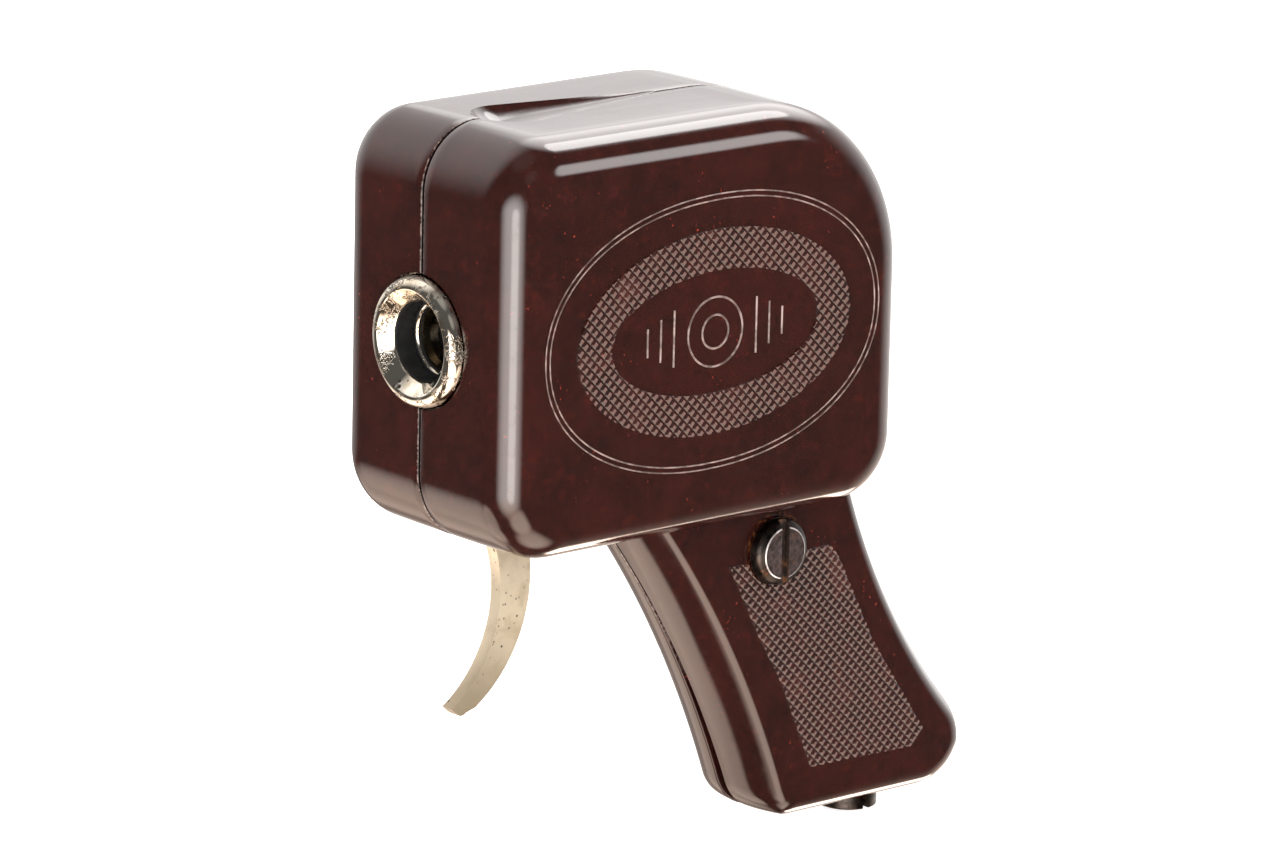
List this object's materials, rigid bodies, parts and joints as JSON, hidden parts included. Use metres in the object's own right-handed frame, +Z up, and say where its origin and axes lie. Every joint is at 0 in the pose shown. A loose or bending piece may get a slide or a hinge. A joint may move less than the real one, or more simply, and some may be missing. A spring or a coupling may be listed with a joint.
{
  "type": "pistol-shaped miniature roll-film camera",
  "caption": "Pistol-grip miniature film camera: moulded case halves around a metal camera, with a curved trigger that turns the shutter and winds the film.",
  "frame": {"origin": "on the lens axis, in the plane of the case's front face, at the mouth of the lens ring's bore", "axes": "-Y out of the lens, +X out of the side with the case screw, +Z up from the grip to the top of the case"},
  "size_m": [0.0422, 0.1083, 0.1213],
  "materials": {
    "bakelite": "glossy, mottled dark red-brown moulding",
    "ring_chrome": "polished plate with worn spots",
    "trigger_nickel": "dull nickel plate, pitted",
    "screw_steel": "dark steel with rust at its edge",
    "bush_steel": "dark oxidised steel",
    "lens_black": "matt black",
    "retainer_nickel": "bright turned edge",
    "lens_glass": "clear",
    "gear_brass": "stamped and cut",
    "shaft_steel": "turned",
    "spring_steel": "blued",
    "camera_casting": "die-cast",
    "camera_paint": "black crackle"
  },
  "bodies": {
    "camera": {"right_shell": "bakelite", "lens_ring": "ring_chrome", "tripod_bush": "bush_steel", "lens_barrel": "lens_black", "aperture_stop": "lens_black", "lens_retaining_ring": "retainer_nickel", "front_lens": "lens_glass", "grip_nut": "gear_brass", "side_plate_left": "gear_brass", "side_plate_right": "gear_brass", "stop_pin": "shaft_steel", "supply_pins": "shaft_steel", "pawl_stud": "shaft_steel", "shutter_stud": "shaft_steel", "plate_screws": "shaft_steel", "cover_screws": "shaft_steel", "seam_dowels": "shaft_steel", "trigger_spring": "spring_steel", "pawl_spring": "spring_steel", "back_latch": "spring_steel", "camera_body": "camera_casting", "shutter_cover": "camera_paint"},
    "left_case": {"left_shell": "bakelite"},
    "case_screw": {"grip_screw": "screw_steel"},
    "trigger_group": {"trigger": "trigger_nickel", "trigger_shaft": "shaft_steel", "drive_quadrant": "gear_brass", "release_arm": "shaft_steel"},
    "takeup_group": {"takeup_pinion": "gear_brass", "takeup_spindle": "shaft_steel", "takeup_spool": "camera_paint", "ratchet_wheel": "gear_brass"},
    "supply_group": {"supply_spool": "camera_paint"},
    "release_slider": {"release_rod": "shaft_steel"},
    "shutter_group": {"shutter_disc": "lens_black", "shutter_pinion": "gear_brass"},
    "pawl": {"ratchet_pawl": "shaft_steel"},
    "back_cover": {"camera_back": "camera_paint"},
    "film_presser": {"pressure_plate": "camera_paint", "pressure_spring": "spring_steel"}
  },
  "joints": [
    {"name": "case_open", "type": "slide", "parent": "camera", "child": "left_case", "axis": [1, 0, 0], "range_m": [0, 0.045]},
    {"name": "screw_out", "type": "slide", "parent": "left_case", "child": "case_screw", "axis": [1, 0, 0], "range_m": [0, 0.009]},
    {"name": "trigger_pull", "type": "hinge", "parent": "camera", "child": "trigger_group", "pos_m": [0, 0.021, -0.0263], "axis": [1, 0, 0], "range_deg": [0, 24], "stiffness_Nm_per_rad": 0.12, "springref_deg": -20.05},
    {"name": "takeup_turn", "type": "hinge", "parent": "camera", "child": "takeup_group", "pos_m": [0, 0.031, -0.0173], "axis": [1, 0, 0], "range_deg": [-90, 4]},
    {"name": "supply_turn", "type": "hinge", "parent": "camera", "child": "supply_group", "pos_m": [0, 0.031, 0.0173], "axis": [1, 0, 0], "continuous": true},
    {"name": "release_travel", "type": "slide", "parent": "camera", "child": "release_slider", "axis": [0, 0, 1], "range_m": [-0.0021, 0.0001]},
    {"name": "shutter_turn", "type": "hinge", "parent": "camera", "child": "shutter_group", "pos_m": [0.005, 0.0155, 0.005], "axis": [0, 1, 0], "range_deg": [-2, 40]},
    {"name": "pawl_lift", "type": "hinge", "parent": "camera", "child": "pawl", "pos_m": [-0.0151, 0.0376, -0.0121], "axis": [1, 0, 0], "range_deg": [0, 8], "stiffness_Nm_per_rad": 0.0001, "springref_deg": -17.19},
    {"name": "back_off", "type": "slide", "parent": "camera", "child": "back_cover", "axis": [0, 1, 0], "range_m": [0, 0.022]},
    {"name": "presser_float", "type": "slide", "parent": "back_cover", "child": "film_presser", "axis": [0, 1, 0], "range_m": [0, 0.0006], "stiffness_N_per_m": 150, "springref_m": -0.002, "deforming": ["pressure_spring"]}
  ],
  "couplings": [
    {"joint": "takeup_turn", "follows": "trigger_pull", "ratio": -3.5},
    {"joint": "release_travel", "follows": "trigger_pull", "m_per_rad": -0.0044672},
    {"joint": "shutter_turn", "follows": "trigger_pull", "ratio": 1.4891}
  ]
}
